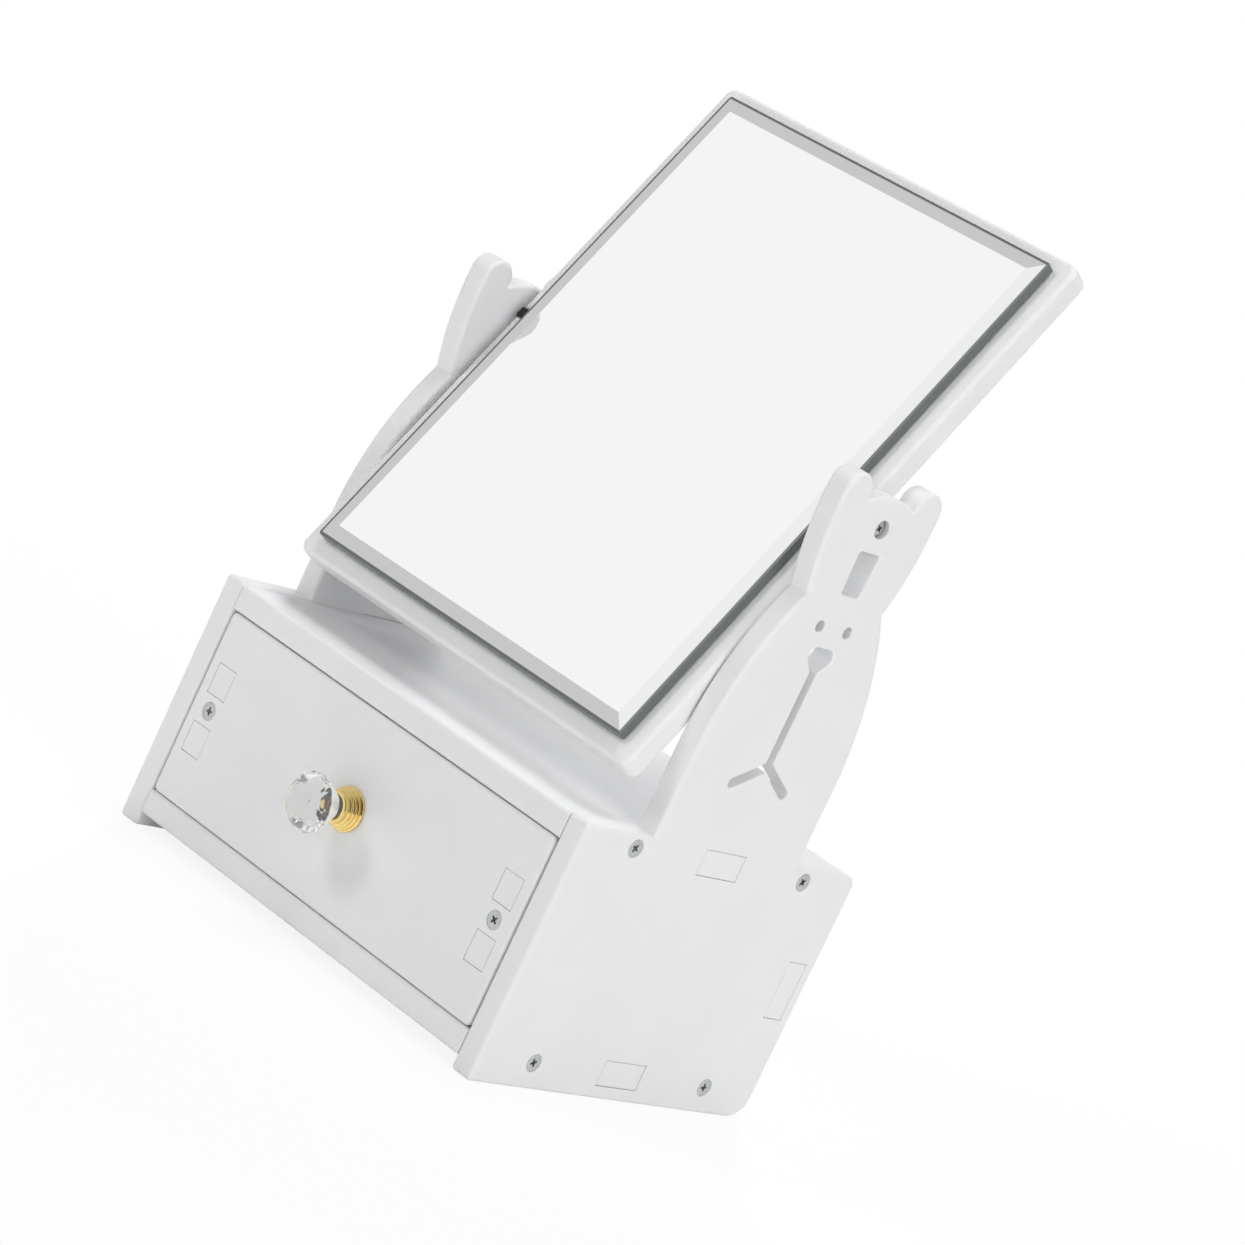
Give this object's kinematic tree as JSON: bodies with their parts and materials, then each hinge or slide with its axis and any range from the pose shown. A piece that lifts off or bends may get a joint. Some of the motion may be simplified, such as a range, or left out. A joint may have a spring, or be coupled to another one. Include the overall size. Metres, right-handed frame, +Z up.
{
  "type": "vanity mirror with drawer",
  "caption": "Table-top tilting vanity mirror, held between two animal-shaped side panels on a small box with a full-width drawer and a crystal knob.",
  "frame": {"origin": "on the surface the object stands on, under the middle of its box, knob included", "axes": "+X to the right as seen from the drawer front, +Y to the back, +Z up; the drawer opens along -Y and the mirror turns about X"},
  "size_m": [0.2, 0.1702, 0.3226],
  "materials": {
    "board_white": "white satin lacquer on flat composite board",
    "screw_zinc": "bright zinc-plated steel",
    "knob_gold": "polished gold-coloured plating",
    "knob_crystal": "clear cut crystal",
    "mirror_glass": "silvered glass with a ground and polished bevel",
    "pad_grey": "soft double-sided foam tape",
    "washer_black": "matt black"
  },
  "bodies": {
    "stand": {"right_side_panel": "board_white", "left_side_panel": "board_white", "top_panel": "board_white", "bottom_panel": "board_white", "back_panel": "board_white", "right_panel_screws": "screw_zinc", "left_panel_screws": "screw_zinc"},
    "drawer": {"drawer_front": "board_white", "drawer_right_side": "board_white", "drawer_left_side": "board_white", "drawer_back": "board_white", "drawer_bottom": "board_white", "drawer_front_screws": "screw_zinc", "drawer_back_screws": "screw_zinc", "knob_base": "knob_gold", "knob_crystal": "knob_crystal", "knob_screw": "screw_zinc"},
    "mirror": {"mirror_board": "board_white", "mirror_glass": "mirror_glass", "mirror_pads": "pad_grey", "right_pivot_screw": "screw_zinc", "left_pivot_screw": "screw_zinc", "right_pivot_washer": "washer_black", "left_pivot_washer": "washer_black"}
  },
  "joints": [
    {"name": "drawer_slide", "type": "slide", "parent": "stand", "child": "drawer", "axis": [0, -1, 0], "range_m": [0, 0.1]},
    {"name": "mirror_tilt", "type": "hinge", "parent": "stand", "child": "mirror", "pos_m": [0, 0.01225, 0.2176], "axis": [1, 0, 0], "continuous": true}
  ]
}
